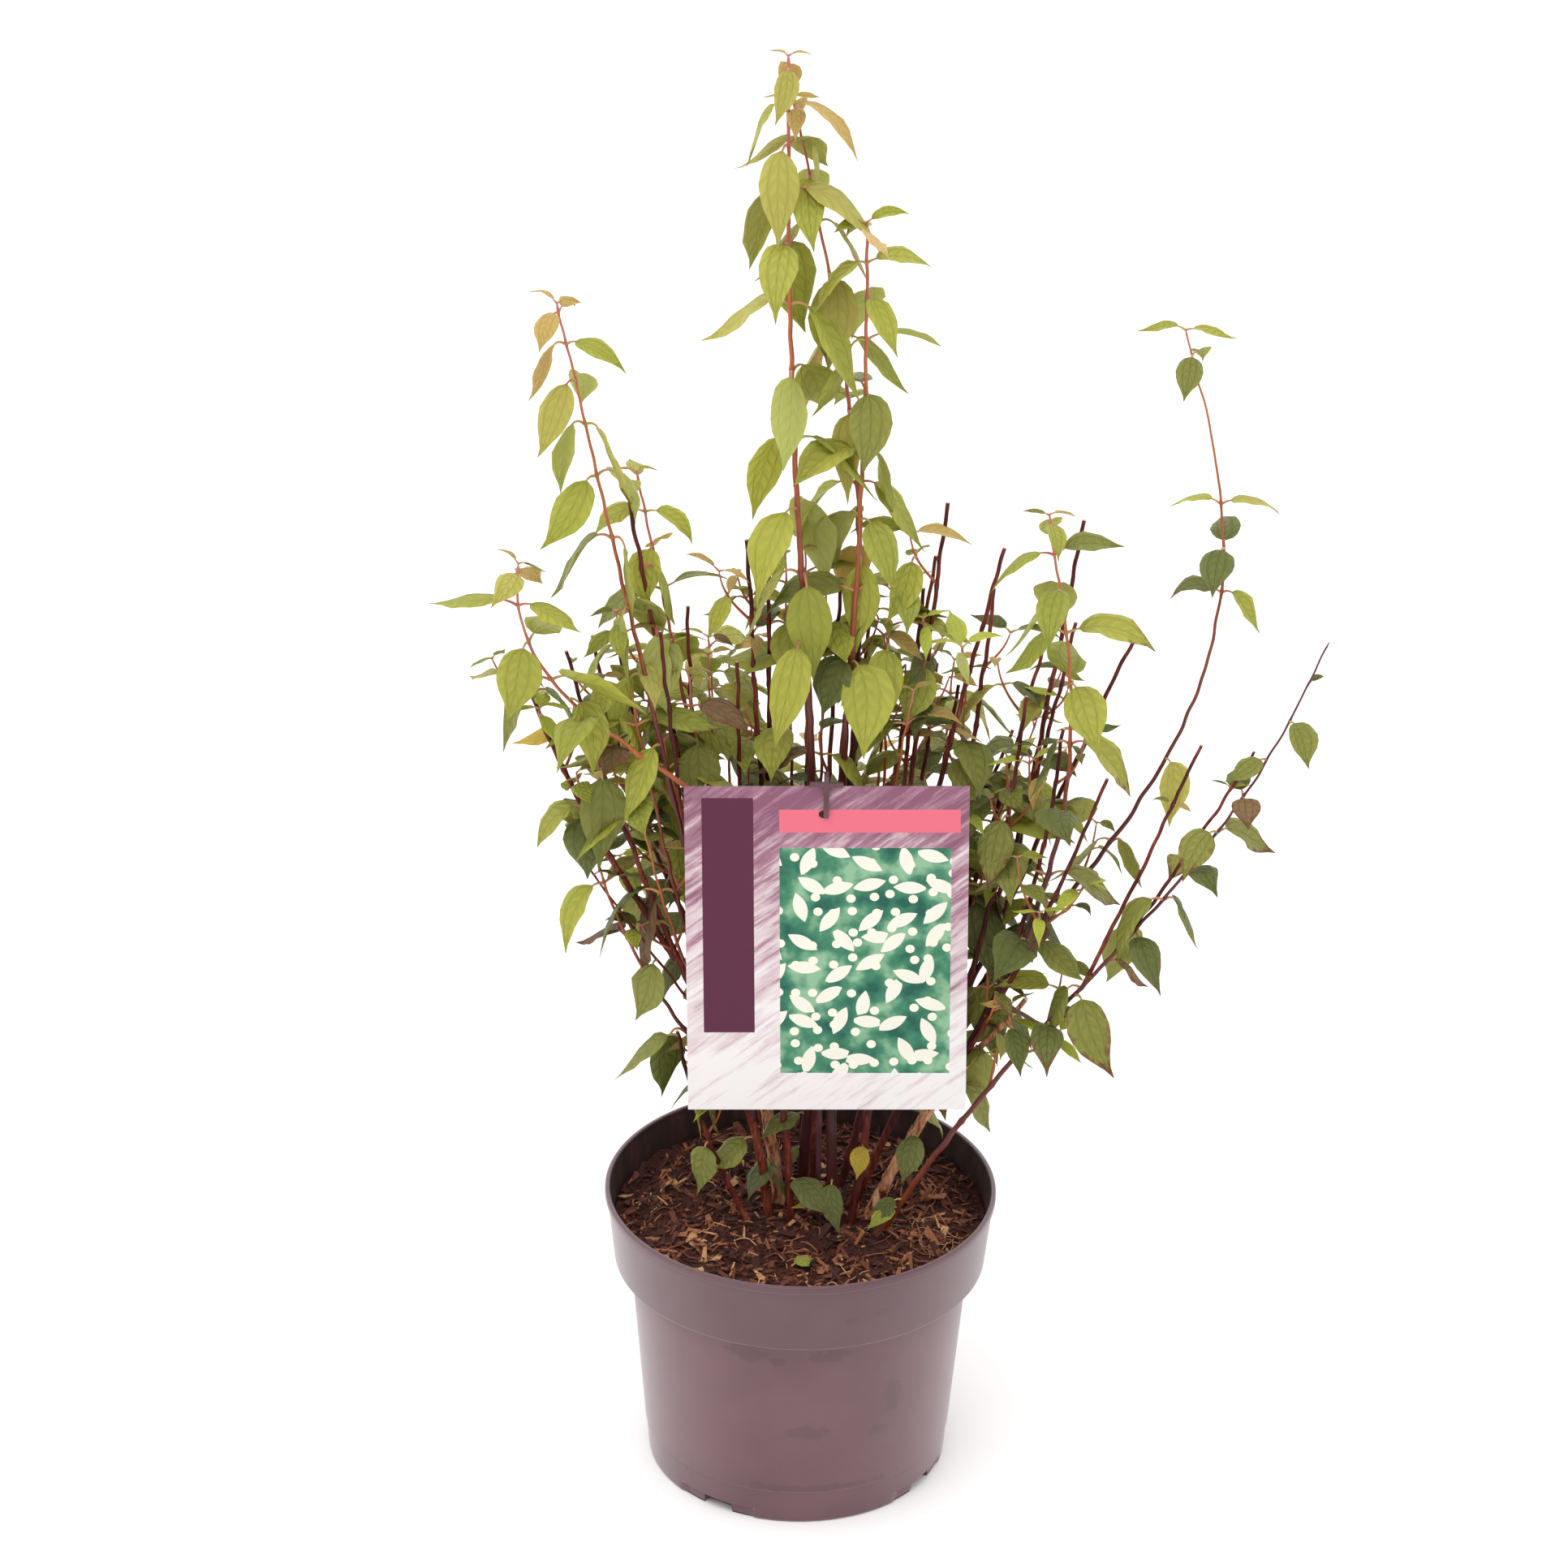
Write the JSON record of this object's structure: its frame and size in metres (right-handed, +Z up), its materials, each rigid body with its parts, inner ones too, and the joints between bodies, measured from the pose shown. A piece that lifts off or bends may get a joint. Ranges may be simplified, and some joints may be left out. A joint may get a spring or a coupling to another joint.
{
  "type": "potted mock orange shrub",
  "caption": "Young mock orange shrub in a round plastic nursery pot, with slender upright and arching stems, paired pointed leaves and a plain hanging card; stands on the flat pot base.",
  "frame": {"origin": "centre of the pot's flat underside", "axes": "+X is the viewer's right, +Y is to the back, +Z is up along the pot's axis; the card faces -Y"},
  "size_m": [0.3982, 0.2353, 0.7332],
  "materials": {
    "pot_plastic": "matt mauve-brown moulded plastic",
    "potting_soil": "dark moist compost with bark chips and fibres",
    "card": "printed plastic card, semi-gloss",
    "holder_plastic": "dark plum moulded plastic",
    "bark": "smooth to peeling brown bark",
    "leaves": "thin quilted green leaves"
  },
  "bodies": {
    "root": {"pot": "pot_plastic", "soil": "potting_soil", "label_card": "card", "label_holder": "holder_plastic", "cane_main": "bark", "cane_second": "bark", "cane_left_old": "bark", "cane_left_tan": "bark", "cane_left_low": "bark", "cane_low_right": "bark", "cane_right_tan": "bark", "cane_right_dark": "bark", "cane_back_left": "bark", "cane_back": "bark", "cane_back_right": "bark", "bough_low_right": "bark", "bough_low_right_tip": "bark", "bough_side_inner": "bark", "bough_side_outer": "bark", "bough_wand_lower": "bark", "bough_wand_upper": "bark", "bough_torn_top": "bark", "bough_dark_right": "bark", "bough_dark_centre": "bark", "leaves_spire_main": "leaves", "leaves_spire_second": "leaves", "leaves_spire_left": "leaves", "leaves_spray_left": "leaves", "leaves_spire_right": "leaves", "leaves_wand_tip": "leaves", "leaves_wand_middle": "leaves", "leaves_wand_low": "leaves", "leaves_low_right": "leaves", "leaves_low_left": "leaves", "leaves_left": "leaves", "leaves_right_low": "leaves", "leaves_right_middle": "leaves", "leaves_centre_left": "leaves", "leaves_centre": "leaves", "leaves_centre_right": "leaves", "leaves_back_left": "leaves", "leaves_back": "leaves", "leaves_back_right": "leaves"}
  },
  "joints": []
}
